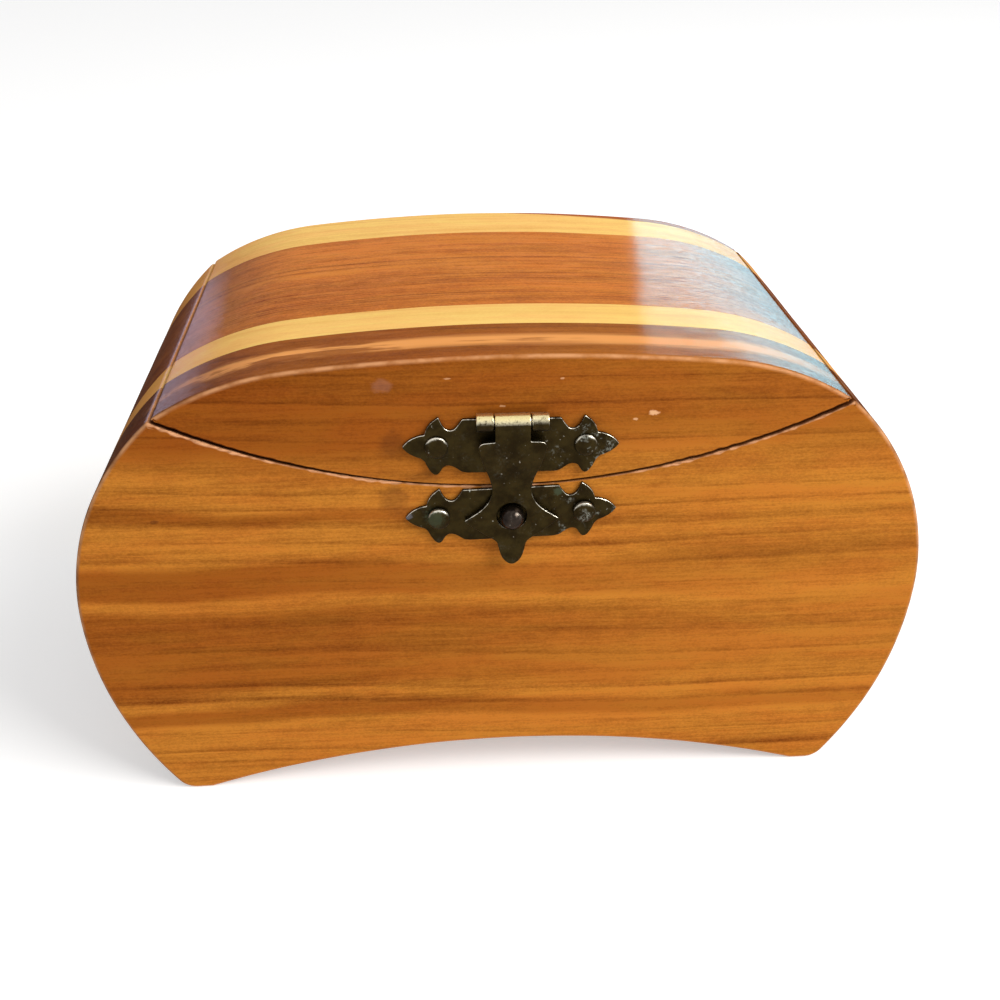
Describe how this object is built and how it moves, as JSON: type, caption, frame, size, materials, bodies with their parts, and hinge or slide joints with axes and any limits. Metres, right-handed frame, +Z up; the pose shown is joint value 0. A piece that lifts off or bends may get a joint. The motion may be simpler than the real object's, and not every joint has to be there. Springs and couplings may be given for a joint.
{
  "type": "wooden trinket box",
  "caption": "Rounded keepsake box of glued wooden boards with a lens-shaped hinged lid over a deep cavity, an arched base and a stamped brass hasp at the front.",
  "frame": {"origin": "middle of the box on the plane that its feet stand on, under the centre of its bounding box", "axes": "+X to the right along the width, +Y from the latch at the front to the hinges at the back, +Z up"},
  "size_m": [0.1524, 0.0899, 0.0889],
  "materials": {
    "front_cedar": "gloss varnish",
    "pale_sapwood": "gloss varnish",
    "red_cedar": "gloss varnish",
    "back_sapwood": "gloss varnish",
    "antique_brass": "dark antique plating, worn bright on edges",
    "hinge_brass": "aged satin"
  },
  "bodies": {
    "box": {"front_board": "front_cedar", "stripe_strip": "pale_sapwood", "core_block": "red_cedar", "back_board": "back_sapwood", "catch_plate": "antique_brass", "catch_knob": "antique_brass", "catch_nail_left": "antique_brass", "catch_nail_right": "antique_brass", "hinge_left_body_leaf": "hinge_brass", "hinge_left_pin": "hinge_brass", "hinge_left_body_nail_1": "hinge_brass", "hinge_left_body_nail_2": "hinge_brass", "hinge_right_body_leaf": "hinge_brass", "hinge_right_pin": "hinge_brass", "hinge_right_body_nail_1": "hinge_brass", "hinge_right_body_nail_2": "hinge_brass"},
    "lid": {"lid_front_board": "front_cedar", "lid_stripe_strip": "pale_sapwood", "lid_core_block": "red_cedar", "lid_back_board": "back_sapwood", "latch_plate": "antique_brass", "hasp_pin": "antique_brass", "latch_nail_left": "antique_brass", "latch_nail_right": "antique_brass", "hinge_left_lid_leaf": "hinge_brass", "hinge_left_lid_nail_1": "hinge_brass", "hinge_left_lid_nail_2": "hinge_brass", "hinge_right_lid_leaf": "hinge_brass", "hinge_right_lid_nail_1": "hinge_brass", "hinge_right_lid_nail_2": "hinge_brass"},
    "hasp": {"hasp": "antique_brass"}
  },
  "joints": [
    {"name": "lid_hinge", "type": "hinge", "parent": "box", "child": "lid", "pos_m": [0, 0.04355, 0.06686], "axis": [-1, 0, 0], "range_deg": [0, 165]},
    {"name": "hasp_hinge", "type": "hinge", "parent": "lid", "child": "hasp", "pos_m": [0.0006, -0.04225, 0.0777], "axis": [-1, 0, 0], "range_deg": [0, 165]}
  ]
}
